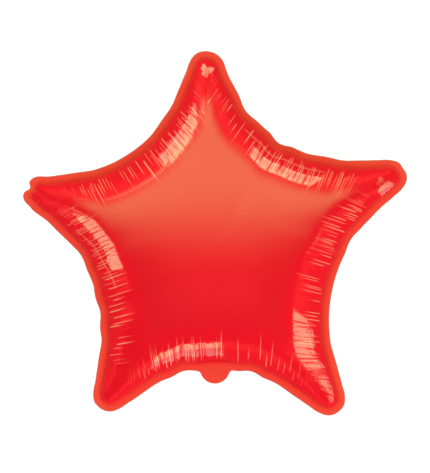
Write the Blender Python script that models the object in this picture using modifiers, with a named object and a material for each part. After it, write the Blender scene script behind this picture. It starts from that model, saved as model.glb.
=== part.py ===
"""Star foil balloon, blown up and lying on its back. Metres.

Two star-shaped foil films are sealed flat together round their edge and blown up into one closed bag. The short
filling tab hangs from the bottom valley. Seen from the front, +X is to the right, +Y goes to the top point and
+Z comes out of the front. The origin is the middle of the small flat patch that the back rests on.
"""

import math
import random

import bmesh
import bpy
import numpy as np
from mathutils import Vector

NAME = "foil_balloon"

# Outer edge of the border: five round points, and between them five hollow arcs that touch both their neighbours.
# Headings are in degrees from +X, turning towards +Y. The points' reaches from the middle of the star, and the radii
# of the arcs, are shares of the star's mean reach.
STAR_REACH = 0.2084
POINT_HEADINGS = (21.1, 92.4, 163.2, 235.4, 307.0)
POINT_REACHES = tuple(STAR_REACH * share for share in (1.031, 0.970, 0.968, 0.989, 1.041))
POINT_RADIUS = 0.021
VALLEY_RADII = tuple(STAR_REACH * share for share in (0.667, 0.653, 0.729, 0.657, 0.746))

# The blown-up bag, from the front patch to the back patch, and how far the patches cut into its crowns.
DEPTH = 0.164
PATCH_DROP = 0.0010
FULLNESS = 0.40
SPINE_CROWDING = 1.5

# Border where the two films are sealed together.
BORDER_WIDTH = 0.0080
BORDER_THICKNESS = 0.0006

# Gathers that run inwards from the border.
PLEAT_PITCH = 0.0092
PLEAT_SPREAD = 0.30
PLEAT_DEPTH = 0.0015
PLEAT_SWELL = 0.35
PLEAT_REACH = 0.045
PLEAT_CROWDING = 0.6
RANDOM_SEED = 11

# Where the gathers draw the edge in, or let it out for a depth below 0, as (distance along the edge from the middle
# of the point, depth, reach to each side). All points have a neck and shoulders. The buckles are single, and start
# with their point and its side: 1 is the side towards the next point, -1 the side towards the one before.
NECK = (0.024, 0.0018, 0.017)
SHOULDER = (0.057, -0.0013, 0.022)
BUCKLES = (
    (0, 1, 0.0045, 0.0020, 0.0080),
    (0, 1, 0.0880, -0.0022, 0.0240),
    (0, 1, 0.1400, 0.0034, 0.0150),
    (1, -1, 0.0800, 0.0020, 0.0180),
    (1, -1, 0.1270, 0.0034, 0.0150),
    (1, 1, 0.0880, -0.0016, 0.0240),
    (2, -1, 0.0040, 0.0040, 0.0080),
    (2, -1, 0.0900, -0.0013, 0.0160),
    (2, 1, 0.0080, -0.0034, 0.0120),
    (2, 1, 0.0930, 0.0020, 0.0180),
    (3, -1, 0.0880, -0.0018, 0.0150),
    (3, -1, 0.1200, -0.0018, 0.0150),
    (3, 1, 0.0990, 0.0028, 0.0170),
    (4, -1, 0.1050, 0.0026, 0.0150),
    (0, -1, 0.0960, 0.0020, 0.0170),
)

# Filling tab in the middle of the bottom valley. It is thicker than the border, because it holds the valve films.
TAB_VALLEY = 3
TAB_LENGTH = 0.0145
TAB_END_RADIUS = 0.0155
TAB_ROOT_RADIUS = 0.0045
TAB_THICKNESS = 0.0010
TAB_OVERLAP = 0.0050
TAB_ARC_STEPS = 8

# How finely the film is divided.
RINGS = 8
FILM_WAVES = 30

FOIL_RED = (0.847, 0.012, 0.018, 1.0)
FOIL_METALLIC = 0.35
FOIL_ROUGHNESS = 0.22


def direction(angle):
    return Vector((math.cos(angle), math.sin(angle)))


def turn(start, end):
    """The shorter turn from one angle to another."""
    return (end - start + math.pi) % (2 * math.pi) - math.pi


def angle_of(vector):
    return math.atan2(vector.y, vector.x)


def circles_meet(a, radius_a, b, radius_b, side):
    """Where two circles cross: to the left of the line from a to b for side 1, to its right for side -1."""
    apart = (b - a).length
    along = (apart**2 + radius_a**2 - radius_b**2) / (2 * apart)
    off = math.sqrt(radius_a**2 - along**2)
    ahead = (b - a) / apart
    return a + ahead * along + Vector((-ahead.y, ahead.x)) * off * side


def arc(centre, radius, start, end, steps):
    """Points along an arc the shorter way round, both ends included."""
    sweep = turn(start, end)
    return [centre + direction(start + sweep * step / steps) * radius for step in range(steps + 1)]


def star_circles():
    """Centres of the points' round ends, and of the valley arcs that touch each of them and the next."""
    headings = [math.radians(degrees) for degrees in POINT_HEADINGS]
    points = [direction(angle) * (reach - POINT_RADIUS) for angle, reach in zip(headings, POINT_REACHES)]
    valleys = []
    for index, radius in enumerate(VALLEY_RADII):
        apart = POINT_RADIUS + radius
        valleys.append(circles_meet(points[index], apart, points[(index + 1) % len(points)], apart, -1))
    return points, valleys


class HalfSide:
    """The outer edge from the middle of a point's round end to the middle of the valley beside it.

    The side is 1 for the edge that follows its point in the order of the headings, and -1 for the edge before it.
    """

    def __init__(self, index, side, point, valley, valley_radius):
        self.point = point
        self.valley = valley
        self.valley_radius = valley_radius
        self.round_start = angle_of(point)
        self.round_turn = turn(self.round_start, angle_of(valley - point))
        self.valley_start = angle_of(point - valley)
        self.valley_turn = turn(self.valley_start, angle_of(-valley))
        self.round_length = abs(self.round_turn) * POINT_RADIUS
        self.length = self.round_length + abs(self.valley_turn) * valley_radius
        self.pulls = [NECK, SHOULDER]
        for buckled, buckled_side, distance, depth, reach in BUCKLES:
            if buckled == index:
                self.pulls.append((distance * buckled_side * side, depth, reach))

    def at(self, share):
        """The edge point at a share of the half side's length, and its outward normal."""
        run = share * self.length
        if run <= self.round_length:
            normal = direction(self.round_start + self.round_turn * run / self.round_length)
            return self.point + normal * POINT_RADIUS, normal
        valley_share = (run - self.round_length) / (self.length - self.round_length)
        inward = direction(self.valley_start + self.valley_turn * valley_share)
        return self.valley + inward * self.valley_radius, -inward

    def pulled_in(self, share):
        """How far the edge is drawn in at a share of the half side's length."""
        run = share * self.length
        return sum(
            depth * max(0.0, 1.0 - ((run - place) / reach) ** 2) ** 2 for place, depth, reach in self.pulls
        )


def half_sides():
    """All half sides, in order round the star."""
    points, valleys = star_circles()
    halves = []
    for index, (valley, radius) in enumerate(zip(valleys, VALLEY_RADII)):
        following = (index + 1) % len(points)
        halves.append(HalfSide(index, 1, points[index], valley, radius))
        halves.append(HalfSide(following, -1, points[following], valley, radius))
    return halves


def uneven_shares(count, chance):
    """Shares from 0 to 1 in uneven steps."""
    widths = [chance.uniform(1.0 - PLEAT_SPREAD, 1.0 + PLEAT_SPREAD) for _ in range(count)]
    return [sum(widths[:number]) / sum(widths) for number in range(count)] + [1.0]


class Column:
    """One line of the film from the border to the spine, which runs from a point's centre to the star's.

    Even columns swell between the gathers, and odd ones are the creases of the gathers.
    """

    def __init__(self, half, share, spine_share, is_crease, chance):
        edge, normal = half.at(share)
        self.edge = edge - normal * half.pulled_in(share)
        self.seal = edge - normal * (BORDER_WIDTH + half.pulled_in(share) / 2)
        self.spine = half.point * (1.0 - spine_share**SPINE_CROWDING)
        self.length = (self.spine - self.seal).length
        self.pleat_reach = min(PLEAT_REACH, self.length * 0.6)
        depth = chance.uniform(0.4, 1.0) if is_crease else -PLEAT_SWELL * chance.random()
        self.pleat_depth = PLEAT_DEPTH * depth * self.pleat_reach / PLEAT_REACH

    def pleat(self, share_in):
        """Depth of the gather at a share of the way from the seal to the spine."""
        across = min(self.length * share_in / self.pleat_reach, 1.0)
        return self.pleat_depth * math.sin(math.pi * across**PLEAT_CROWDING)


def star_columns():
    """Every column of the film, in order round the star."""
    chance = random.Random(RANDOM_SEED)
    halves = half_sides()
    mean_length = sum(half.length for half in halves) / len(halves)
    steps = 2 * max(4, round(mean_length / PLEAT_PITCH))
    columns = []
    for number, half in enumerate(halves):
        shares = uneven_shares(steps, chance)
        towards_valley = number % 2 == 0
        for step in range(steps):
            place = step if towards_valley else steps - step
            columns.append(Column(half, shares[place], place / steps, place % 2 == 1, chance))
    return columns


def film_height(rim):
    """Height of an evenly loaded film that is held at the rim, as a function of plan points, 1 at the origin.

    Such a film's height is minus a quarter of the radius squared plus smooth waves, chosen so that it is zero
    all along the rim.
    """
    reach = np.linalg.norm(rim, axis=1).max()

    def waves(plan):
        place = (plan[:, 0] + 1j * plan[:, 1]) / reach
        powers = place[:, None] ** np.arange(1, FILM_WAVES + 1)
        return np.hstack([np.ones((len(plan), 1)), powers.real, powers.imag])

    def load(plan):
        return (plan**2).sum(axis=1) / (4.0 * reach**2)

    weights = np.linalg.lstsq(waves(rim), load(rim), rcond=None)[0]
    return lambda plan: (waves(plan) @ weights - load(plan)) / weights[0]


def add_ring(bm, plan, heights):
    return [bm.verts.new((place[0], place[1], height)) for place, height in zip(plan, heights)]


def build_front_film():
    """The front film and the front half of the border, as a bmesh that is open at the mid plane."""
    columns = star_columns()
    seal = np.array([column.seal for column in columns])
    spine = np.array([column.spine for column in columns])
    edge = np.array([column.edge for column in columns])
    height = film_height(seal)
    rim_error = height(seal)
    crown = DEPTH / 2 + PATCH_DROP
    border_top = BORDER_THICKNESS / 2
    level = np.full(len(columns), border_top)

    bm = bmesh.new()
    rings = [add_ring(bm, edge, level * 0), add_ring(bm, edge, level), add_ring(bm, seal, level)]
    gathers = []
    for ring in range(1, RINGS + 1):
        share_in = 1.0 - math.cos(math.pi / 2 * ring / RINGS)
        plan = seal + (spine - seal) * share_in
        rise = np.clip(height(plan) - rim_error * (1.0 - share_in), 0.0, None) ** FULLNESS
        tops = np.minimum(border_top + (crown - border_top) * rise, DEPTH / 2)
        rings.append(add_ring(bm, plan, tops))
        gathers += [(vert, column.pleat(share_in)) for vert, column in zip(rings[-1], columns)]
    for outer, inner in zip(rings, rings[1:]):
        for number, vert in enumerate(outer):
            after = (number + 1) % len(outer)
            bm.faces.new((vert, outer[after], inner[after], inner[number]))
    bm.normal_update()
    for vert, depth in gathers:
        vert.co -= vert.normal * depth
    bmesh.ops.remove_doubles(bm, verts=rings[-1], dist=1e-5)
    return bm


def tab_outline():
    """Plan of the tab: a round end, a small round root on each side, and a stretch that lies on the border."""
    _, valleys = star_circles()
    valley = valleys[TAB_VALLEY]
    valley_radius = VALLEY_RADII[TAB_VALLEY]
    inward = -valley.normalized()
    end = valley + inward * (valley_radius - TAB_LENGTH + TAB_END_RADIUS)
    outline = []
    for side in (1, -1):
        root_apart = valley_radius - TAB_ROOT_RADIUS
        root = circles_meet(valley, root_apart, end, TAB_END_RADIUS + TAB_ROOT_RADIUS, side)
        root_arc = arc(root, TAB_ROOT_RADIUS, angle_of(root - valley), angle_of(end - root), TAB_ARC_STEPS // 2)
        end_arc = arc(end, TAB_END_RADIUS, angle_of(root - end), angle_of(-inward), TAB_ARC_STEPS)
        on_border = root_arc[0] + (root_arc[0] - valley).normalized() * TAB_OVERLAP
        half = [on_border] + root_arc + end_arc[1:]
        outline += half if side == 1 else half[-2::-1]
    return outline


def build_tab(collection):
    """The tab as a flat outline with a thickness, made into a closed mesh that can be joined to the bag."""
    curve = bpy.data.curves.new("tab_outline", "CURVE")
    curve.dimensions = "2D"
    curve.fill_mode = "BOTH"
    curve.extrude = TAB_THICKNESS / 2
    outline = tab_outline()
    spline = curve.splines.new("POLY")
    spline.points.add(len(outline) - 1)
    for point, place in zip(spline.points, outline):
        point.co = (place.x, place.y, 0.0, 1.0)
    spline.use_cyclic_u = True
    guide = bpy.data.objects.new("tab_outline", curve)
    collection.objects.link(guide)
    guide.location.z = DEPTH / 2
    depsgraph = bpy.context.evaluated_depsgraph_get()
    mesh = bpy.data.meshes.new_from_object(guide.evaluated_get(depsgraph))
    bm = bmesh.new()
    bm.from_mesh(mesh)
    bmesh.ops.remove_doubles(bm, verts=bm.verts, dist=1e-6)
    bm.to_mesh(mesh)
    bm.free()
    tab = bpy.data.objects.new("tab_blank", mesh)
    collection.objects.link(tab)
    tab.matrix_world = guide.matrix_world
    tab.location.z = DEPTH / 2
    bpy.data.objects.remove(guide)
    tab.hide_render = True
    tab.display_type = "WIRE"
    return tab


def foil_material():
    material = bpy.data.materials.new("red_foil")
    material.use_nodes = True
    shader = material.node_tree.nodes["Principled BSDF"]
    shader.inputs["Base Color"].default_value = FOIL_RED
    shader.inputs["Metallic"].default_value = FOIL_METALLIC
    shader.inputs["Roughness"].default_value = FOIL_ROUGHNESS
    return material


def new_collection(name):
    collection = bpy.data.collections.new(name)
    bpy.context.scene.collection.children.link(collection)
    return collection


def main():
    mesh = bpy.data.meshes.new(NAME)
    bm = build_front_film()
    bm.to_mesh(mesh)
    bm.free()
    mesh.materials.append(foil_material())
    mesh.shade_smooth()
    bag = bpy.data.objects.new(NAME, mesh)
    new_collection(NAME).objects.link(bag)
    bag.location.z = DEPTH / 2

    mirror = bag.modifiers.new("back film", "MIRROR")
    mirror.use_axis = (False, False, True)
    mirror.merge_threshold = 0.00001
    join = bag.modifiers.new("filling tab", "BOOLEAN")
    join.operation = "UNION"
    join.solver = "EXACT"
    join.object = build_tab(new_collection("cutters"))


for old in list(bpy.data.objects):
    bpy.data.objects.remove(old)
main()
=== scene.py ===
"""Star foil balloon: blown-up film with fine gathers, sealed border, filling tab, and the studio round it."""

import math
import random

import bpy
import numpy as np
from mathutils import Matrix, Vector


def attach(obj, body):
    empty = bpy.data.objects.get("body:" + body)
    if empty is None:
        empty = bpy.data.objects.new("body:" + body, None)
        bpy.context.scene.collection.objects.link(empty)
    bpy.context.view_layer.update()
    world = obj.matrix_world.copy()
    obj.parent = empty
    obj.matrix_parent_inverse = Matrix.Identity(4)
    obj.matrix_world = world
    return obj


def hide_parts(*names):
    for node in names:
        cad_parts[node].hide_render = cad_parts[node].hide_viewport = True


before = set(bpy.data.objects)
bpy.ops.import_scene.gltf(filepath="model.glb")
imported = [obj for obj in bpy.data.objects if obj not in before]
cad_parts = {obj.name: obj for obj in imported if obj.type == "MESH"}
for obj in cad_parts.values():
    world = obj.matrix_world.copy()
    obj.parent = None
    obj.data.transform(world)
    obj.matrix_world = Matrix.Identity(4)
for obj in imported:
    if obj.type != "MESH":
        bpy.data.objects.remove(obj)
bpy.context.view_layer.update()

# The sizes from here to the tab are those of the solid that the film stands for. Only the buckles, which
# follow the photograph more closely here, and the finer steps of the tab's arcs are not.

# Outer edge of the border: five round points, and between them five hollow arcs that touch both their
# neighbours. Headings are in degrees from +X, turning towards +Y. The points' reaches from the middle of
# the star, and the radii of the arcs, are shares of the star's mean reach.
STAR_REACH = 0.2084
POINT_HEADINGS = (21.1, 92.4, 163.2, 235.4, 307.0)
POINT_REACHES = tuple(STAR_REACH * share for share in (1.031, 0.970, 0.968, 0.989, 1.041))
POINT_RADIUS = 0.021
VALLEY_RADII = tuple(STAR_REACH * share for share in (0.667, 0.653, 0.729, 0.657, 0.746))

# The blown-up bag, from the front patch to the back patch, and how far the patches cut into its crowns.
DEPTH = 0.164
PATCH_DROP = 0.0010
FULLNESS = 0.40
SPINE_CROWDING = 1.5

# Border where the two films are sealed together.
BORDER_WIDTH = 0.0080
BORDER_THICKNESS = 0.0006

# Gathers that run inwards from the border.
PLEAT_PITCH = 0.0092
PLEAT_SPREAD = 0.30
PLEAT_DEPTH = 0.0015
PLEAT_DEPTH_RANGE = (0.4, 1.0)
PLEAT_SWELL = 0.35
PLEAT_REACH = 0.045
PLEAT_MOST_SHARE = 0.6
PLEAT_CROWDING = 0.6
RANDOM_SEED = 11

# Where the gathers draw the edge in, or let it out for a depth below 0, as (distance along the edge from
# the middle of the point, depth, reach to each side). All points have a neck and shoulders. The buckles
# are single, and start with their point and its side: 1 is the side towards the next point, -1 the side
# towards the one before.
NECK = (0.024, 0.0018, 0.017)
SHOULDER = (0.057, -0.0013, 0.022)
BUCKLES = (
    (0, 1, 0.0045, 0.0012, 0.0080),
    (0, 1, 0.0880, -0.0022, 0.0240),
    (0, 1, 0.1400, 0.0034, 0.0150),
    (1, -1, 0.0240, -0.0018, 0.0180),
    (1, -1, 0.0800, 0.0020, 0.0180),
    (1, -1, 0.1270, 0.0034, 0.0150),
    (1, 1, 0.0880, -0.0016, 0.0240),
    (2, -1, 0.0020, 0.0030, 0.0060),
    (2, -1, 0.0130, -0.0022, 0.0140),
    (2, 1, 0.0080, -0.0034, 0.0120),
    (2, 1, 0.0260, -0.0022, 0.0180),
    (2, 1, 0.0930, 0.0020, 0.0180),
    (3, -1, 0.0880, -0.0018, 0.0150),
    (3, -1, 0.1200, -0.0018, 0.0150),
    (3, 1, 0.0650, 0.0012, 0.0260),
    (3, 1, 0.0990, 0.0028, 0.0170),
    (4, -1, 0.1050, 0.0026, 0.0150),
    (0, -1, 0.0520, 0.0011, 0.0200),
    (0, -1, 0.0960, 0.0020, 0.0170),
)

# Filling tab in the middle of the bottom valley.
TAB_VALLEY = 3
TAB_LENGTH = 0.0145
TAB_END_RADIUS = 0.0155
TAB_ROOT_RADIUS = 0.0045
TAB_OVERLAP = 0.0050
TAB_ARC_STEPS = 24

# The film's gathers are this share of the solid's, because the thin folds take up the rest of the slack.
PLEAT_SHARE = 0.06

# The tab's films, which pass between those of the border. Round the middle of their valley, out to these
# distances, the border's outer edge gets no painted dark outline, because the tab goes on from it.
TAB_FILM_THICKNESS = 0.0005
TAB_ROOT_BLEND = (TAB_END_RADIUS * 0.95, TAB_END_RADIUS * 1.1)

# Thin folds between the main gathers, which run inwards from the seal. Most stand out of the film, and
# some sink in. Starts and reaches are distances from the seal, and each range multiplies the value above
# it. The least pitch is in half widths of the fold. A fold rises over FOLD_EASE and begins to fade at the
# share FOLD_HOLD of its reach. The profile is (place across, as a share of the half width; share of the
# height). The folds that stand out get a painted highlight, pale along their tops: less so where the film
# is shorter than twice FOLD_LEAST_ROOM from seal to spine, and not at all where it is shorter than that once.
FOLD_PITCH = 0.0040
FOLD_PITCH_RANGE = (0.5, 1.6)
FOLD_LEAST_PITCH = 2.7
FOLD_HALF_WIDTH = 0.00065
FOLD_WIDTH_RANGE = (0.7, 1.3)
FOLD_HEIGHT = 0.00025
FOLD_HEIGHT_RANGE = (0.4, 1.0)
FOLD_START = 0.0065
FOLD_START_RANGE = (0.4, 1.8)
FOLD_REACH = 0.031
FOLD_REACH_RANGE = (0.4, 1.1)
FOLD_EASE = 0.003
FOLD_HOLD = 0.55
FOLD_SUNK_SHARE = 0.3
FOLD_GLINT_RANGE = (0.35, 1.0)
FOLD_LEAST_ROOM = 0.022
FOLD_PROFILE = ((-1.0, 0.0), (-0.4, 0.8), (0.4, 0.8), (1.0, 0.0))
FOLD_SEEDS = {"front_film": 5, "back_film": 6}

# Where the thin folds are bunched, as (heading from the middle of the star, half the spread), in degrees.
# Their pitch there is the share BUNCH_SHARE of the others'.
FOLD_BUNCHES = (
    (107.0, 13.0),
    (152.0, 11.0),
    (177.0, 16.0),
    (38.0, 25.0),
    (311.0, 13.0),
    (257.0, 14.0),
    (355.0, 22.0),
)
BUNCH_SHARE = 0.55

# Taut stretches of the flank that stay as glossy as the crown, while the gathers dull the film round them.
# Each is (heading from the middle of the star, half the spread, both in degrees, and the nearest and
# farthest distance from the outer edge). Where two overlap, the later one's distances hold, out to
# STRETCH_HOLD degrees past it.
GLOSSY_STRETCHES = (
    (109.5, 12.5, 0.0240, 0.0370),
    (109.0, 5.5, 0.0240, 0.0430),
    (180.5, 13.5, 0.0280, 0.0400),
    (49.5, 18.0, 0.0250, 0.0370),
    (314.5, 7.3, 0.0205, 0.0420),
    (308.5, 1.3, 0.0135, 0.0420),
    (259.0, 16.0, 0.019, 0.033),
)
STRETCH_EASE = 0.7
STRETCH_HOLD = 3.0

# Two glossy spots near the ends of the arms: (heading, distance from the middle of the star, radius).
# Their edge is ragged by waves of the radius: (share of it, number of waves, phase).
GLOSSY_ENDS = ((92.0, 0.180, 0.006), (19.0, 0.186, 0.008))
END_WAVES = ((0.25, 3, 1.0), (0.15, 7, 0.0))
END_EASE = 0.0007

# Fine streaks beside the seal, as noise stretched along the folds: a bump in a band that begins and ends
# at these distances from the outer edge. They also jag the edges of the glossy stretches and hatch them.
STREAK_SCALE = (430.0, 25.0, 1.0)
STREAK_DETAIL = 3.0
STREAK_HEIGHT = 0.0001
STREAK_BAND_START = (0.009, 0.014)
STREAK_BAND_END = (0.020, 0.034)
GLOSS_JAG = 0.010
GLOSS_EDGE = (-0.0003, 0.0005)
GLOSS_HATCH = 0.2
GLOSS_HATCH_NOISE = (0.42, 0.47)

# Long soft folds that follow the border: (heading, distance from the outer edge) at one end, then at the
# other. Each is a low ridge with a painted highlight along it and a painted shade line beside it, farther
# in by GROOVE_SHADE_AT half widths. The fade is in shares of half the fold's spread.
CONTOUR_FOLDS = (((172.0, 0.0175), (205.0, 0.0275)), ((77.0, 0.0180), (31.0, 0.0185)))
CONTOUR_FADE = (0.75, 1.0)
CONTOUR_HOLD = 1.1
CONTOUR_HALF_WIDTH = 0.0017
CONTOUR_HEIGHT = 0.00008
CONTOUR_GLINT = 0.22
GROOVE_SHADE_AT = 1.5
GROOVE_SHADE_SHARE = 0.2

# The crown's gloss begins at CROWN_START from the outer edge, or farther in by CROWN_START_BELOW in the
# lower half, and is whole CROWN_EASE farther in. In the upper arms the gloss also follows the middle of
# the arm: over these shares of the way from the seal to the spine, and only where that way is long enough.
# Heights in the picture are measured from the middle of the star.
CROWN_START = 0.0325
CROWN_START_BELOW = 0.010
CROWN_BELOW = (0.01, -0.03)
CROWN_EASE = 0.017
CROWN_ARM_SHARES = (0.60, 0.95)
CROWN_LEAST_ROOM = (0.025, 0.037)
CROWN_ARM_HEIGHTS = (-0.03, 0.0)

# Ripple of the flat border, which fades out beside the filling tab.
RIPPLE_HEIGHT = 0.0002
RIPPLE_LENGTHS = (0.031, 0.047, 0.083)
RIPPLE_SEED = 3
RIPPLE_FADE = (TAB_END_RADIUS * 1.5, TAB_END_RADIUS * 3.0)

# How finely the film is divided. Even lines closer than COLUMN_GAP to a line of a fold are left out.
COLUMN_SPLIT = 2
COLUMN_GAP = 0.0004
BORDER_SHARES = (0.0, 0.06, 0.5, 0.92)
RINGS = 34
SPINE_WELD = 0.00002
FILM_WAVES = 30

# The photograph: its size in pixels, the pixel of the star's middle, and the size of a pixel at the border.
# The camera's lens and sensor are in mm.
PHOTO_WIDTH = 430
PHOTO_HEIGHT = 473
STAR_PIXEL_X = 212.9
STAR_PIXEL_Y = 245.3
PIXEL_SIZE = 0.00104
LENS = 100.0
SENSOR = 36.0

# Softboxes that stand far round the balloon and face it. Each is given in degrees, as seen from the
# balloon: the heading and the elevation of its middle, its width and its height.
SOFTBOXES = (
    (126.0, 11.5, 34.0, 28.0),
    (190.0, 13.0, 26.0, 28.0),
    (56.0, 9.0, 36.0, 23.0),
    (318.0, 14.0, 52.0, 32.0),
    (270.0, 7.0, 34.0, 14.0),
    (96.0, 17.0, 18.0, 14.0),
    (352.0, 12.0, 8.0, 22.0),
)
SOFTBOX_DISTANCE = 3.0
SOFTBOX_RADIANCE = 3.5
SOFTBOX_COLOUR = (0.55, 0.94, 0.57)

# The floor lies just under the balloon. It bounces light as a pale floor does, but the camera and mirrors
# see a glow, and a little light on top of it, which the shadow takes away.
FLOOR_SIZE = 60.0
FLOOR_GAP = 0.0005
FLOOR_PALE = (0.8, 0.8, 0.8, 1.0)
FLOOR_DIM = (0.18, 0.18, 0.18, 1.0)
FLOOR_GLOW = 0.90
WHITE = (1.0, 1.0, 1.0, 1.0)

# The sky that the film mirrors is bright over the balloon's top point and the arms beside it, and dim over
# the rest. Each pair is where it starts to change and where it has changed, as a part of the direction: y
# for the first two, x to either side for the third, and z for the last.
SKY_DIM = 0.05
SKY_BRIGHT = 1.7
SKY_TOWARDS_TOP = (-0.40, 0.75)
SKY_TOP_END = (0.93, 0.99)
SKY_SIDE_ENDS = (0.80, 0.94)
SKY_HORIZON = (0.12, 0.34)
SKY_COLOUR = (0.48, 0.98, 0.42, 1.0)

# A soft light that the film's gloss doesn't mirror.
FILL_PLACE = (0.0, -0.5, 1.9)
FILL_RADIANCE = 4.0
FILL_SIZE = 1.6
FILL_COLOUR = (0.97, 0.95, 1.0)

# Colours and gloss of the film. The blends are distances from the outer edge. The crown's gloss fades with
# how far the film faces away from the eye.
FOIL_RED = (0.80, 0.006, 0.017, 1.0)
# Painted sheen: the border's red is made more orange and lighter, standing in for the sheen on the flat
# border.
BORDER_SHEEN_RED = (0.82, 0.054, 0.038, 1.0)
# Painted shade: a dark outline along the outer edge of the border.
OUTLINE_SHADE_RED = (0.60, 0.11, 0.085, 1.0)
# Painted highlight: the pale peach that stands for glints along the tops of raised folds and long folds.
GLINT_RED = (0.90, 0.30, 0.22, 1.0)
# Painted shade: the dark line beside each long fold's ridge.
GROOVE_SHADE_RED = (0.45, 0.004, 0.008, 1.0)
OUTLINE_SHADE_BLEND = (0.0004, 0.0012)
BORDER_SHEEN_BLEND = (0.003, 0.013)
FOIL_METALLIC = 0.12
FOIL_ROUGHNESS = 0.24
FOIL_EDGE_TINT = (1.0, 0.1, 0.08, 1.0)
GLOSS_ROUGHNESS = 0.07
GLOSS_IOR = 1.8
GLOSS_FADE = (0.30, 0.50)
GLOSS_LEAST = 0.03


def direction(angle):
    return Vector((math.cos(angle), math.sin(angle)))


def turn(start, end):
    """The shorter turn from one angle to another."""
    return (end - start + math.pi) % (2 * math.pi) - math.pi


def angle_of(vector):
    return math.atan2(vector.y, vector.x)


def circles_meet(a, radius_a, b, radius_b, side):
    """Where two circles cross: to the left of the line from a to b for side 1, to its right for side -1."""
    apart = (b - a).length
    along = (apart**2 + radius_a**2 - radius_b**2) / (2 * apart)
    off = math.sqrt(radius_a**2 - along**2)
    ahead = (b - a) / apart
    return a + ahead * along + Vector((-ahead.y, ahead.x)) * off * side


def arc(centre, radius, start, end, steps):
    """Points along an arc the shorter way round, both ends included."""
    sweep = turn(start, end)
    return [centre + direction(start + sweep * step / steps) * radius for step in range(steps + 1)]


def star_circles():
    """Centres of the points' round ends, and of the valley arcs that touch each of them and the next."""
    headings = [math.radians(degrees) for degrees in POINT_HEADINGS]
    points = [direction(angle) * (reach - POINT_RADIUS) for angle, reach in zip(headings, POINT_REACHES)]
    valleys = []
    for index, radius in enumerate(VALLEY_RADII):
        apart = POINT_RADIUS + radius
        valleys.append(circles_meet(points[index], apart, points[(index + 1) % len(points)], apart, -1))
    return points, valleys


class HalfSide:
    """The outer edge from the middle of a point's round end to the middle of the valley beside it.

    The side is 1 for the edge that follows its point in the order of the headings, and -1 for the one before.
    """

    def __init__(self, index, side, point, valley, valley_radius):
        self.point = point
        self.valley = valley
        self.valley_radius = valley_radius
        self.round_start = angle_of(point)
        self.round_turn = turn(self.round_start, angle_of(valley - point))
        self.valley_start = angle_of(point - valley)
        self.valley_turn = turn(self.valley_start, angle_of(-valley))
        self.round_length = abs(self.round_turn) * POINT_RADIUS
        self.length = self.round_length + abs(self.valley_turn) * valley_radius
        self.pulls = [NECK, SHOULDER]
        for buckled, buckled_side, distance, depth, reach in BUCKLES:
            if buckled == index:
                self.pulls.append((distance * buckled_side * side, depth, reach))

    def at(self, share):
        """The edge point at a share of the half side's length, and its outward normal."""
        run = share * self.length
        if run <= self.round_length:
            normal = direction(self.round_start + self.round_turn * run / self.round_length)
            return self.point + normal * POINT_RADIUS, normal
        valley_share = (run - self.round_length) / (self.length - self.round_length)
        inward = direction(self.valley_start + self.valley_turn * valley_share)
        return self.valley + inward * self.valley_radius, -inward

    def pulled_in(self, share):
        """How far the edge is drawn in at a share of the half side's length."""
        run = share * self.length
        return sum(
            depth * max(0.0, 1.0 - ((run - place) / reach) ** 2) ** 2 for place, depth, reach in self.pulls
        )


def half_sides():
    """All half sides, in order round the star."""
    points, valleys = star_circles()
    halves = []
    for index, (valley, radius) in enumerate(zip(valleys, VALLEY_RADII)):
        following = (index + 1) % len(points)
        halves.append(HalfSide(index, 1, points[index], valley, radius))
        halves.append(HalfSide(following, -1, points[following], valley, radius))
    return halves


def uneven_shares(count, chance):
    """Shares from 0 to 1 in uneven steps."""
    widths = [chance.uniform(1.0 - PLEAT_SPREAD, 1.0 + PLEAT_SPREAD) for _ in range(count)]
    return [sum(widths[:number]) / sum(widths) for number in range(count)] + [1.0]


class Rim:
    """Columns of film from the border to a spine, as in the solid, read off at any distance round the star.

    The corners are the distances at which a half side starts, and the end of the last one.
    """

    def __init__(self):
        chance = random.Random(RANDOM_SEED)
        halves = half_sides()
        mean_length = sum(half.length for half in halves) / len(halves)
        steps = 2 * max(4, round(mean_length / PLEAT_PITCH))
        self.columns = []
        starts = []
        corners = []
        run = 0.0
        for number, half in enumerate(halves):
            corners.append(run)
            shares = uneven_shares(steps, chance)
            towards_valley = number % 2 == 0
            for step in range(steps):
                place = step if towards_valley else steps - step
                following = place + 1 if towards_valley else place - 1
                is_crease = place % 2 == 1
                depth = chance.uniform(*PLEAT_DEPTH_RANGE) if is_crease else -PLEAT_SWELL * chance.random()
                spans = (shares[place], shares[following]), (place / steps, following / steps)
                self.columns.append((half, *spans, PLEAT_DEPTH * depth))
                starts.append(run)
                run += abs(shares[following] - shares[place]) * half.length
        self.starts = np.array(starts + [run])
        self.corners = np.array(corners + [run])
        self.length = run

    def at(self, run):
        """The edge, seal and spine points at a distance round the star, and the depth of the gather there."""
        number = int(np.searchsorted(self.starts, run, side="right")) - 1
        part = (run - self.starts[number]) / (self.starts[number + 1] - self.starts[number])
        half, shares, spine_shares, depth = self.columns[number]
        next_depth = self.columns[(number + 1) % len(self.columns)][3]
        share = shares[0] + (shares[1] - shares[0]) * part
        spine_share = spine_shares[0] + (spine_shares[1] - spine_shares[0]) * part
        edge, normal = half.at(share)
        pulled = half.pulled_in(share)
        spine = half.point * (1.0 - spine_share**SPINE_CROWDING)
        eased = (1.0 - math.cos(math.pi * part)) / 2
        depth = PLEAT_SHARE * (depth + (next_depth - depth) * eased)
        return edge - normal * pulled, edge - normal * (BORDER_WIDTH + pulled / 2), spine, depth


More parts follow.
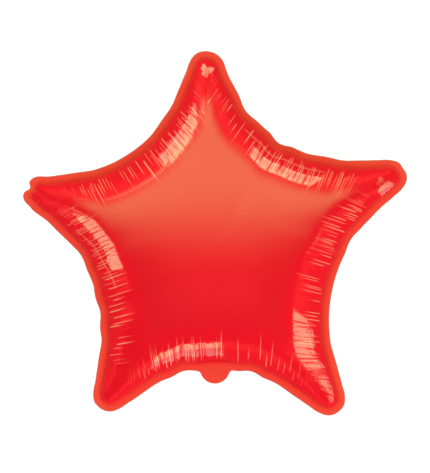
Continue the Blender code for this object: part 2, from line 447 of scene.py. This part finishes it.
class Lines:
    """Lines of film from the border to the spine, as arrays: at even steps, and across each thin fold."""

    def __init__(self, rim, seed):
        folds = self.thin_folds(rim, seed)
        even = np.linspace(rim.starts[:-1], rim.starts[1:], COLUMN_SPLIT, endpoint=False).T.reshape(-1)
        clear = np.abs(even[:, None] - folds[None, :, 0]).min(axis=1) > COLUMN_GAP
        blank = np.zeros((clear.sum(), folds.shape[1]))
        blank[:, 0] = even[clear]
        # A line without a fold has no height or painted highlight, but it needs a reach for its window.
        blank[:, 3] = FOLD_REACH
        lines = np.concatenate([folds, blank])
        lines = lines[np.argsort(lines[:, 0])]
        self.run, self.fold_height, self.fold_start, self.fold_reach, self.fold_glint_share = lines.T
        places = [rim.at(run) for run in self.run]
        self.edge, self.seal, self.spine = (np.array([place[k] for place in places]) for k in range(3))
        self.length = np.linalg.norm(self.spine - self.seal, axis=1)
        self.round_length = rim.length
        self.pleat_reach = np.minimum(PLEAT_REACH, self.length * PLEAT_MOST_SHARE)
        self.pleat_depth = np.array([place[3] for place in places]) * self.pleat_reach / PLEAT_REACH
        self.fold_height *= self.pleat_reach / PLEAT_REACH
        self.fold_glint_share *= smooth(FOLD_LEAST_ROOM, 2 * FOLD_LEAST_ROOM, self.length)
        self.ripple = self.border_ripple()

    @staticmethod
    def thin_folds(rim, seed):
        """Rows of (distance round the star, height, start, reach, share of painted highlight), one for each
        profile point.

        Folds across a corner are left out, so that the even lines there stay.
        """
        chance = random.Random(seed)
        rows = []
        place = FOLD_PITCH
        while place < rim.length - FOLD_PITCH:
            half_width = FOLD_HALF_WIDTH * chance.uniform(*FOLD_WIDTH_RANGE)
            height = FOLD_HEIGHT * chance.uniform(*FOLD_HEIGHT_RANGE)
            if chance.random() < FOLD_SUNK_SHARE:
                height = -height
            start = FOLD_START * chance.uniform(*FOLD_START_RANGE)
            reach = start + FOLD_REACH * chance.uniform(*FOLD_REACH_RANGE)
            # A raised fold gets a share of painted highlight along its top.
            mark = chance.uniform(*FOLD_GLINT_RANGE) if height > 0.0 else 0.0
            if np.abs(rim.corners - place).min() > half_width + 2 * COLUMN_GAP:
                rows += [
                    (place + across * half_width, rise * height, start, reach, rise**2 * mark)
                    for across, rise in FOLD_PROFILE
                ]
            edge = rim.at(place)[0]
            bunched = any(
                abs(turn(math.radians(heading), angle_of(edge))) < math.radians(spread)
                for heading, spread in FOLD_BUNCHES
            )
            pitch = FOLD_PITCH * (BUNCH_SHARE if bunched else 1.0)
            place += max(pitch * chance.uniform(*FOLD_PITCH_RANGE), half_width * FOLD_LEAST_PITCH)
        return np.array(rows)

    def border_ripple(self):
        """Rise of the border's outer edge along the star."""
        chance = random.Random(RIPPLE_SEED)
        rise = np.zeros(len(self.run))
        for length in RIPPLE_LENGTHS:
            turns = round(self.round_length / length)
            phase = chance.uniform(0.0, 2 * math.pi)
            rise += np.sin(2 * math.pi * turns * self.run / self.round_length + phase)
        tab_middle = valley_middle(TAB_VALLEY)
        from_tab = np.linalg.norm(self.edge - np.array(tab_middle), axis=1)
        return RIPPLE_HEIGHT * rise * smooth(*RIPPLE_FADE, from_tab)

    def fold_window(self, inward):
        """How much of each fold there is at each ring and line. inward is the distance from the seal."""
        window = smooth(self.fold_start, self.fold_start + FOLD_EASE, inward)
        return window * (1.0 - smooth(self.fold_reach * FOLD_HOLD, self.fold_reach, inward))


def valley_middle(number):
    """The point of a valley's arc that is nearest to the middle of the star."""
    _, valleys = star_circles()
    valley = valleys[number]
    return valley - valley.normalized() * VALLEY_RADII[number]


def film_height(rim):
    """Height of an evenly loaded film held at the rim, as a function of plan points, 1 at the origin."""
    reach = np.linalg.norm(rim, axis=1).max()

    def waves(plan):
        place = (plan[:, 0] + 1j * plan[:, 1]) / reach
        powers = place[:, None] ** np.arange(1, FILM_WAVES + 1)
        return np.hstack([np.ones((len(plan), 1)), powers.real, powers.imag])

    def load(plan):
        return (plan**2).sum(axis=1) / (4.0 * reach**2)

    weights = np.linalg.lstsq(waves(rim), load(rim), rcond=None)[0]
    return lambda plan: (waves(plan) @ weights - load(plan)) / weights[0]


def smooth(start, end, values):
    """Eases from 0 to 1 as the values go from start to end."""
    share = np.clip((values - start) / (end - start), 0.0, 1.0)
    return share * share * (3.0 - 2.0 * share)


def surface_normals(grid):
    """Normals of a grid of points that closes on itself along its second axis."""
    along = np.roll(grid, -1, axis=1) - np.roll(grid, 1, axis=1)
    inwards = np.gradient(grid, axis=0)
    normals = np.cross(along, inwards)
    lengths = np.linalg.norm(normals, axis=2, keepdims=True)
    return normals / np.maximum(lengths, 1e-12)


def film_grid(lines, crown):
    """One film and its half of the border, from the outer edge to the spine.

    The grids are its points, with heights above the mid plane, their distance inwards, the rise of the
    border's ripple, and how much painted highlight the folds get.
    """
    height = film_height(lines.seal)
    rim_error = height(lines.seal)
    border_top = BORDER_THICKNESS / 2
    share_in = (1.0 - np.cos(np.pi / 2 * np.arange(RINGS + 1) / RINGS))[:, None]
    plan = lines.seal[None] + (lines.spine - lines.seal)[None] * share_in[:, :, None]
    raw = height(plan.reshape(-1, 2)).reshape(plan.shape[:2]) - rim_error[None] * (1.0 - share_in)
    rise = np.clip(raw, 0.0, None) ** FULLNESS
    rise[0] = 0.0
    tops = np.minimum(border_top + (crown - border_top) * rise, DEPTH / 2)
    film = np.dstack([plan, tops])

    inward = share_in * lines.length[None]
    across = np.minimum(inward / lines.pleat_reach[None], 1.0)
    gathers = lines.pleat_depth[None] * np.sin(np.pi * across**PLEAT_CROWDING)
    window = lines.fold_window(inward)
    film += surface_normals(film) * (lines.fold_height * window - gathers)[:, :, None]
    film[0] = np.column_stack([lines.seal, np.full(len(lines.seal), border_top)])

    width = np.linalg.norm(lines.seal - lines.edge, axis=1)
    rows = [np.column_stack([lines.edge, np.zeros(len(width))])]
    for share in BORDER_SHARES:
        plan = lines.edge + (lines.seal - lines.edge) * share
        rows.append(np.column_stack([plan, np.full(len(width), border_top)]))
    shares = np.array((0.0,) + BORDER_SHARES)[:, None]
    grid = np.concatenate([rows, film])
    from_edge = np.concatenate([shares * width, width + inward])
    ripple = np.concatenate([(1.0 - shares) ** 2 * lines.ripple, np.zeros_like(inward)])
    # How much painted highlight each point of a raised fold gets.
    fold_glint = np.concatenate([np.zeros((len(shares), len(width))), lines.fold_glint_share * window])
    return grid, from_edge, ripple, fold_glint


def gloss_marks(heading, plan):
    """How far each point is in a glossy stretch, the stretch's distances there, and the spots in the arms."""
    glossy, near, far, ends = (np.zeros(heading.shape) for _ in range(4))
    for middle, spread, nearest, farthest in GLOSSY_STRETCHES:
        off = np.abs(turn(math.radians(middle), heading))
        along = 1.0 - smooth(math.radians(spread - STRETCH_EASE), math.radians(spread + STRETCH_EASE), off)
        glossy = np.maximum(glossy, along)
        close = off < math.radians(spread + STRETCH_HOLD)
        near[close] = nearest
        far[close] = farthest
    for middle, distance, radius in GLOSSY_ENDS:
        from_spot = plan - np.array(direction(math.radians(middle)) * distance)
        way = np.arctan2(from_spot[:, :, 1], from_spot[:, :, 0])
        ragged = 1.0 + sum(share * np.sin(waves * way + phase) for share, waves, phase in END_WAVES)
        past = np.linalg.norm(from_spot, axis=2) - radius * ragged
        ends = np.maximum(ends, 1.0 - smooth(-END_EASE, END_EASE, past))
    return {"glossy": glossy, "near": near, "far": far, "glossy_end": ends}


def contour_marks(heading):
    """How much of a long soft fold there is at each heading, and its distance from the outer edge there."""
    contour = np.zeros(heading.shape)
    contour_at = np.zeros(heading.shape)
    for (first, first_at), (last, last_at) in CONTOUR_FOLDS:
        part = turn(math.radians((first + last) / 2), heading) / math.radians((last - first) / 2)
        contour = np.maximum(contour, 1.0 - smooth(*CONTOUR_FADE, np.abs(part)))
        close = np.abs(part) < CONTOUR_HOLD
        contour_at[close] = ((first_at + last_at) / 2 + (last_at - first_at) / 2 * part)[close]
    return {"contour": contour, "contour_at": contour_at}


def crown_mark(lines, height, from_edge):
    """How much of the crown's gloss there is at each point. height is that in the picture."""
    start = CROWN_START + CROWN_START_BELOW * smooth(*CROWN_BELOW, height)
    share_in = np.clip((from_edge - BORDER_WIDTH) / lines.length[None], 0.0, 1.0)
    in_arm = smooth(*CROWN_ARM_SHARES, share_in) * smooth(*CROWN_LEAST_ROOM, lines.length)[None]
    in_arm = in_arm * smooth(*CROWN_ARM_HEIGHTS, height)
    return np.maximum(smooth(0.0, CROWN_EASE, from_edge - start), in_arm)


def film_marks(lines, plan, from_edge, fold_glint):
    """Values for the material at each point of the film, by name."""
    heading = np.arctan2(plan[:, :, 1], plan[:, :, 0])
    from_tab = np.linalg.norm(plan - np.array(valley_middle(TAB_VALLEY)), axis=2)
    return {
        **gloss_marks(heading, plan),
        **contour_marks(heading),
        "by_tab": 1.0 - smooth(*TAB_ROOT_BLEND, from_tab),
        "crown": crown_mark(lines, plan[:, :, 1], from_edge),
        "fold_glint": fold_glint,
    }


def film_mesh(name, lines, grid, from_edge, side):
    """The film's grid as a mesh that closes on itself along the border, with its UV map.

    U runs along the border and V inwards from the outer edge, both in metres.
    """
    rows, count = from_edge.shape
    row, column = np.meshgrid(np.arange(rows - 1), np.arange(count), indexing="ij")
    corners = [(row, column), (row, column + 1), (row + 1, column + 1), (row + 1, column)]
    if side < 0:
        corners.reverse()
    faces = np.stack([line * count + end % count for line, end in corners], axis=-1).reshape(-1, 4)
    mesh = bpy.data.meshes.new(name)
    mesh.from_pydata(grid.reshape(-1, 3), [], faces.tolist())
    run = np.append(lines.run, lines.run[0] + lines.round_length)
    along = np.stack([run[end] for _, end in corners], axis=-1)
    inwards = np.stack([from_edge[line, end % count] for line, end in corners], axis=-1)
    layer = mesh.uv_layers.new(name="border_map")
    layer.data.foreach_set("uv", np.stack([along, inwards], axis=-1).reshape(-1))
    return mesh


def build_film(name, rim, side):
    """One film of the bag: side 1 is the front, and side -1 the back, which has the small flat patch."""
    lines = Lines(rim, FOLD_SEEDS[name])
    grid, from_edge, ripple, fold_glint = film_grid(lines, DEPTH / 2 + (PATCH_DROP if side < 0 else 0.0))
    grid[:, :, 2] = DEPTH / 2 + side * grid[:, :, 2] + ripple
    mesh = film_mesh(name, lines, grid, from_edge, side)
    for label, values in film_marks(lines, grid[:, :, :2], from_edge, fold_glint).items():
        mesh.attributes.new(label, "FLOAT", "POINT").data.foreach_set("value", values.reshape(-1))
    mesh.shade_smooth()
    film = bpy.data.objects.new(name, mesh)
    bpy.context.scene.collection.objects.link(film)
    weld = film.modifiers.new("spine", "WELD")
    weld.merge_threshold = SPINE_WELD
    dress(film)
    return film


def dress(piece):
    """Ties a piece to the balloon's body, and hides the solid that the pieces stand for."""
    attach(piece, "root")
    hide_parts("foil_balloon")


def tab_outline():
    """Plan of the tab: a round end, a small round root on each side, and a stretch on the border."""
    _, valleys = star_circles()
    valley = valleys[TAB_VALLEY]
    valley_radius = VALLEY_RADII[TAB_VALLEY]
    inward = -valley.normalized()
    end = valley + inward * (valley_radius - TAB_LENGTH + TAB_END_RADIUS)
    outline = []
    for side in (1, -1):
        root_apart = valley_radius - TAB_ROOT_RADIUS
        root = circles_meet(valley, root_apart, end, TAB_END_RADIUS + TAB_ROOT_RADIUS, side)
        turned = angle_of(root - valley), angle_of(end - root)
        root_arc = arc(root, TAB_ROOT_RADIUS, *turned, TAB_ARC_STEPS // 2)
        end_arc = arc(end, TAB_END_RADIUS, angle_of(root - end), angle_of(-inward), TAB_ARC_STEPS)
        on_border = root_arc[0] + (root_arc[0] - valley).normalized() * TAB_OVERLAP
        half = [on_border] + root_arc + end_arc[1:]
        outline += half if side == 1 else half[-2::-1]
    return outline


def build_tab():
    """The filling tab, a flat outline with a thickness."""
    curve = bpy.data.curves.new("tab_outline", "CURVE")
    curve.dimensions = "2D"
    curve.fill_mode = "BOTH"
    curve.extrude = TAB_FILM_THICKNESS / 2
    outline = tab_outline()
    spline = curve.splines.new("POLY")
    spline.points.add(len(outline) - 1)
    for point, place in zip(spline.points, outline):
        point.co = (place.x, place.y, 0.0, 1.0)
    spline.use_cyclic_u = True
    guide = bpy.data.objects.new("tab_outline", curve)
    bpy.context.scene.collection.objects.link(guide)
    mesh = bpy.data.meshes.new_from_object(guide.evaluated_get(bpy.context.evaluated_depsgraph_get()))
    bpy.data.objects.remove(guide)
    mesh.transform(Matrix.Translation((0.0, 0.0, DEPTH / 2)))
    tab = bpy.data.objects.new("filling_tab", mesh)
    bpy.context.scene.collection.objects.link(tab)
    dress(tab)
    return tab


class Nodes:
    """A small helper for building node trees."""

    def __init__(self, tree):
        self.tree = tree

    def add(self, kind, inputs=None, **settings):
        node = self.tree.nodes.new(kind)
        for name, value in settings.items():
            setattr(node, name, value)
        for name, value in (inputs or {}).items():
            if isinstance(value, bpy.types.NodeSocket):
                self.tree.links.new(value, node.inputs[name])
            else:
                node.inputs[name].default_value = value
        return node

    def mark(self, name):
        """A value that the mesh keeps at each of its points."""
        return self.add("ShaderNodeAttribute", attribute_name=name).outputs["Fac"]

    def maths(self, operation, first, second=0.0):
        node = self.add("ShaderNodeMath", {0: first, 1: second}, operation=operation)
        return node.outputs[0]

    def ramp(self, value, start, end, low=0.0, high=1.0):
        """Eases from low to high as value goes from start to end."""
        inputs = {"Value": value, "From Min": start, "From Max": end, "To Min": low, "To Max": high}
        return self.add("ShaderNodeMapRange", inputs, interpolation_type="SMOOTHSTEP").outputs["Result"]

    def mix(self, factor, first, second):
        """A blend of two colours: the first where the factor is 0, the second where it is 1."""
        return self.add("ShaderNodeMix", {0: factor, 6: first, 7: second}, data_type="RGBA").outputs[2]


def new_material(name):
    material = bpy.data.materials.new(name)
    material.use_nodes = True
    tree = material.node_tree
    return material, Nodes(tree), tree.nodes["Principled BSDF"]


def film_colour(nodes, inwards, past, ridge):
    """Red, with painted light: an orange painted sheen on the border, a painted dark outline at its outer
    edge, pale painted highlights on the folds, and a painted shade line beside each long fold's ridge.

    inwards is the distance from the outer edge, and past is how far that is past a long fold's ridge.
    """
    # Painted sheen: orange on the border, easing into the film's red farther in.
    colour = nodes.mix(nodes.ramp(inwards, *BORDER_SHEEN_BLEND), BORDER_SHEEN_RED, FOIL_RED)
    # Painted highlight: pale peach along the tops of the raised folds.
    colour = nodes.mix(nodes.mark("fold_glint"), colour, GLINT_RED)
    # Painted highlight along each long fold's ridge, then a painted shade line just farther in.
    colour = nodes.mix(nodes.maths("MULTIPLY", ridge, CONTOUR_GLINT), colour, GLINT_RED)
    groove_shade = nodes.maths("ABSOLUTE", nodes.maths("SUBTRACT", past, GROOVE_SHADE_AT * CONTOUR_HALF_WIDTH))
    groove_shade = nodes.ramp(groove_shade, 0.0, CONTOUR_HALF_WIDTH, GROOVE_SHADE_SHARE, 0.0)
    colour = nodes.mix(nodes.maths("MULTIPLY", groove_shade, nodes.mark("contour")), colour, GROOVE_SHADE_RED)
    # Painted shade: a dark outline at the outer edge, left out where the tab goes on from it.
    outline_unshaded = nodes.maths("MAXIMUM", nodes.mark("by_tab"), nodes.ramp(inwards, *OUTLINE_SHADE_BLEND))
    return nodes.mix(outline_unshaded, OUTLINE_SHADE_RED, colour)


def film_rise(nodes, inwards, streak, ridge):
    """Height of the fine streaks beside the seal, and of the ridges of the long folds."""
    begun = nodes.ramp(inwards, *STREAK_BAND_START)
    band = nodes.maths("MULTIPLY", begun, nodes.ramp(inwards, *STREAK_BAND_END, 1.0, 0.0))
    streaks = nodes.maths("MULTIPLY", streak, nodes.maths("MULTIPLY", band, STREAK_HEIGHT))
    return nodes.maths("ADD", streaks, nodes.maths("MULTIPLY", ridge, CONTOUR_HEIGHT))


def film_gloss(nodes, inwards, streak):
    """Weight of the clear gloss: whole on the crown, the glossy stretches and the spots, slight elsewhere."""
    jag = nodes.maths("MULTIPLY", nodes.maths("SUBTRACT", streak, 0.5), GLOSS_JAG)
    jagged = nodes.maths("ADD", inwards, jag)
    past_near = nodes.maths("SUBTRACT", jagged, nodes.mark("near"))
    short_of_far = nodes.maths("SUBTRACT", nodes.mark("far"), jagged)
    taut = nodes.ramp(nodes.maths("MINIMUM", past_near, short_of_far), *GLOSS_EDGE)
    taut = nodes.maths("MULTIPLY", taut, nodes.ramp(streak, *GLOSS_HATCH_NOISE, GLOSS_HATCH, 1.0))
    taut = nodes.maths("MULTIPLY", taut, nodes.mark("glossy"))
    taut = nodes.maths("MAXIMUM", taut, nodes.mark("glossy_end"))
    turned = nodes.add("ShaderNodeLayerWeight", {"Blend": 0.5}).outputs["Facing"]
    crown = nodes.maths("MULTIPLY", nodes.mark("crown"), nodes.ramp(turned, *GLOSS_FADE, 1.0, 0.0))
    return nodes.maths("MAXIMUM", nodes.maths("MAXIMUM", crown, taut), GLOSS_LEAST)


def foil_material():
    """Red metallised film under a clear gloss, duller along the sealed border and more orange there from a
    painted sheen.
    """
    material, nodes, shader = new_material("red_foil")
    place = nodes.add("ShaderNodeUVMap", uv_map="border_map").outputs["UV"]
    inwards = nodes.add("ShaderNodeSeparateXYZ", {"Vector": place}).outputs["Y"]
    past = nodes.maths("SUBTRACT", inwards, nodes.mark("contour_at"))
    ridge = nodes.ramp(nodes.maths("ABSOLUTE", past), 0.0, CONTOUR_HALF_WIDTH, 1.0, 0.0)
    ridge = nodes.maths("MULTIPLY", ridge, nodes.mark("contour"))
    drawn = nodes.add("ShaderNodeMapping", {"Vector": place, "Scale": STREAK_SCALE}).outputs["Vector"]
    noise = {"Vector": drawn, "Scale": 1.0, "Detail": STREAK_DETAIL}
    streak = nodes.add("ShaderNodeTexNoise", noise).outputs["Fac"]
    rise = film_rise(nodes, inwards, streak, ridge)
    normal = nodes.add("ShaderNodeBump", {"Height": rise, "Strength": 1.0, "Distance": 1.0}).outputs["Normal"]
    wires = {
        "Base Color": film_colour(nodes, inwards, past, ridge),
        "Normal": normal,
        "Coat Normal": normal,
        "Coat Weight": film_gloss(nodes, inwards, streak),
    }
    for name, value in wires.items():
        nodes.tree.links.new(value, shader.inputs[name])
    finish(shader)
    return material


def tab_material():
    material, nodes, shader = new_material("tab_foil")
    # The tab takes the border's red with its painted sheen.
    shader.inputs["Base Color"].default_value = BORDER_SHEEN_RED
    finish(shader)
    shader.inputs["Coat Weight"].default_value = GLOSS_LEAST
    return material


def finish(shader):
    """The film's metal and the clear gloss over it."""
    shader.inputs["Metallic"].default_value = FOIL_METALLIC
    shader.inputs["Roughness"].default_value = FOIL_ROUGHNESS
    shader.inputs["Specular IOR Level"].default_value = 0.0
    shader.inputs["Specular Tint"].default_value = FOIL_EDGE_TINT
    shader.inputs["Coat Roughness"].default_value = GLOSS_ROUGHNESS
    shader.inputs["Coat IOR"].default_value = GLOSS_IOR


def floor_material():
    """White floor that still takes the balloon's shadow, and that bounces light as a pale floor does."""
    material, nodes, shader = new_material("white_floor")
    nodes.tree.nodes.remove(shader)
    path = nodes.add("ShaderNodeLightPath").outputs
    mirrored = nodes.maths("MAXIMUM", path["Is Glossy Ray"], path["Is Transmission Ray"])
    seen = nodes.maths("MAXIMUM", path["Is Camera Ray"], mirrored)
    pale = nodes.add("ShaderNodeBsdfDiffuse", {"Color": FLOOR_PALE})
    dim = nodes.add("ShaderNodeBsdfDiffuse", {"Color": FLOOR_DIM})
    glow = nodes.add("ShaderNodeEmission", {"Color": WHITE, "Strength": FLOOR_GLOW})
    white = nodes.add("ShaderNodeAddShader", {0: dim.outputs[0], 1: glow.outputs[0]})
    floor = nodes.add("ShaderNodeMixShader", {"Fac": seen, 1: pale.outputs[0], 2: white.outputs[0]})
    output = next(node for node in nodes.tree.nodes if node.type == "OUTPUT_MATERIAL")
    nodes.tree.links.new(floor.outputs[0], output.inputs["Surface"])
    return material


def build_floor():
    bpy.ops.mesh.primitive_plane_add(size=FLOOR_SIZE, location=(0.0, 0.0, -FLOOR_GAP))
    floor = bpy.context.object
    floor.name = "floor"
    floor.data.materials.append(floor_material())


def area_light(name, place, target, width, height, radiance, colour):
    """A square-cornered soft light that looks from its place at a target."""
    data = bpy.data.lights.new(name, "AREA")
    data.shape = "RECTANGLE"
    data.size = width
    data.size_y = height
    data.energy = radiance * width * height * math.pi
    data.color = colour
    lamp = bpy.data.objects.new(name, data)
    bpy.context.scene.collection.objects.link(lamp)
    lamp.location = place
    lamp.rotation_euler = (Vector(place) - Vector(target)).to_track_quat("Z", "Y").to_euler()
    lamp.visible_camera = False
    return lamp


def build_lights():
    middle = Vector((0.0, 0.0, DEPTH / 2))
    for number, (*aim, width, height) in enumerate(SOFTBOXES):
        heading, elevation = (math.radians(degrees) for degrees in aim)
        plan = direction(heading) * math.cos(elevation)
        place = middle + Vector((plan.x, plan.y, math.sin(elevation))) * SOFTBOX_DISTANCE
        sides = [2 * SOFTBOX_DISTANCE * math.tan(math.radians(degrees / 2)) for degrees in (width, height)]
        area_light(f"softbox_{number + 1}", place, middle, *sides, SOFTBOX_RADIANCE, SOFTBOX_COLOUR)
    fill = area_light("fill", FILL_PLACE, middle, FILL_SIZE, FILL_SIZE, FILL_RADIANCE, FILL_COLOUR)
    fill.visible_glossy = False


def build_sky():
    """The sky that the film mirrors, behind a white backdrop that the camera sees."""
    world = bpy.data.worlds.new("studio")
    bpy.context.scene.world = world
    world.use_nodes = True
    nodes = Nodes(world.node_tree)
    towards = nodes.add("ShaderNodeTexCoord").outputs["Generated"]
    parts = nodes.add("ShaderNodeSeparateXYZ", {"Vector": towards}).outputs
    sideways = nodes.maths("ABSOLUTE", parts["X"])
    bright = nodes.ramp(parts["Y"], *SKY_TOWARDS_TOP)
    bright = nodes.maths("MULTIPLY", bright, nodes.ramp(parts["Y"], *SKY_TOP_END, 1.0, 0.0))
    bright = nodes.maths("MULTIPLY", bright, nodes.ramp(sideways, *SKY_SIDE_ENDS, 1.0, 0.0))
    bright = nodes.maths("MULTIPLY", bright, nodes.ramp(parts["Z"], *SKY_HORIZON))
    strength = nodes.ramp(bright, 0.0, 1.0, SKY_DIM, SKY_BRIGHT)
    sky = world.node_tree.nodes["Background"]
    sky.inputs["Color"].default_value = SKY_COLOUR
    world.node_tree.links.new(strength, sky.inputs["Strength"])
    backdrop = nodes.add("ShaderNodeBackground", {"Color": WHITE, "Strength": 1.0})
    seen = nodes.add("ShaderNodeLightPath").outputs["Is Camera Ray"]
    shown = nodes.add("ShaderNodeMixShader", {"Fac": seen, 1: sky.outputs[0], 2: backdrop.outputs[0]})
    world.node_tree.links.new(shown.outputs[0], world.node_tree.nodes["World Output"].inputs["Surface"])


def build_camera():
    """A camera that looks straight down, framed as the photograph is."""
    data = bpy.data.cameras.new("camera")
    data.lens = LENS
    data.sensor_width = SENSOR
    camera = bpy.data.objects.new("camera", data)
    bpy.context.scene.collection.objects.link(camera)
    distance = PHOTO_HEIGHT * PIXEL_SIZE * LENS / SENSOR
    camera.location = (
        (PHOTO_WIDTH / 2 - STAR_PIXEL_X) * PIXEL_SIZE,
        (STAR_PIXEL_Y - PHOTO_HEIGHT / 2) * PIXEL_SIZE,
        DEPTH / 2 + distance,
    )
    bpy.context.scene.camera = camera


def main():
    rim = Rim()
    foil = foil_material()
    for name, side in (("front_film", 1), ("back_film", -1)):
        film = build_film(name, rim, side)
        film.data.materials.append(foil)
    tab = build_tab()
    tab.data.materials.append(tab_material())
    build_floor()
    build_lights()
    build_sky()
    build_camera()
    bpy.context.scene.view_settings.view_transform = "Standard"


main()
